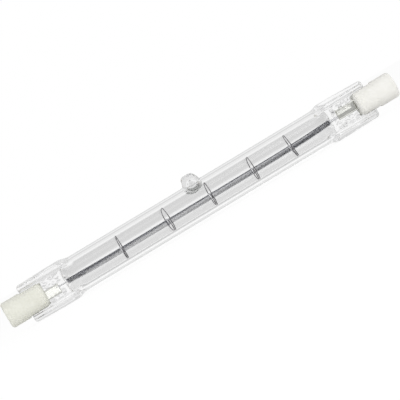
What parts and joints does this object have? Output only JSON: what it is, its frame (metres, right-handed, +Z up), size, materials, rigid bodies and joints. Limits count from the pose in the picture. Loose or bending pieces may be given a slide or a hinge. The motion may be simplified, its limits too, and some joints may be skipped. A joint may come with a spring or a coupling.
{
  "type": "linear halogen bulb",
  "caption": "Double-ended linear halogen lamp: clear quartz tube with pressed ends, a coiled filament on wire supports and a slotted ceramic cap with a recessed contact at each end.",
  "frame": {"origin": "on the plane that the lamp lies on, under the middle of its overall box", "axes": "+X along the lamp from the left cap to the right cap, +Y square to the pressed flats, +Z up, along the sealed exhaust tip"},
  "size_m": [0.1176, 0.01, 0.0131],
  "materials": {
    "fused_quartz": "clear, fire polished",
    "tungsten": "drawn wire",
    "molybdenum_wire": "drawn wire",
    "molybdenum_foil": "rolled foil",
    "steatite": "pressed and fired, matt",
    "nickel_plate": "plated",
    "cement": "dried paste, matt"
  },
  "bodies": {
    "root": {"filament": "tungsten", "filament_support_1": "tungsten", "filament_support_2": "tungsten", "filament_support_3": "tungsten", "filament_support_4": "tungsten", "filament_support_5": "tungsten", "left_cap": "steatite", "left_cement": "cement", "left_contact": "nickel_plate", "left_foil": "molybdenum_foil", "left_inner_lead": "molybdenum_wire", "left_outer_lead": "molybdenum_wire", "quartz_envelope": "fused_quartz", "right_cap": "steatite", "right_cement": "cement", "right_contact": "nickel_plate", "right_foil": "molybdenum_foil", "right_inner_lead": "molybdenum_wire", "right_outer_lead": "molybdenum_wire"}
  },
  "joints": []
}
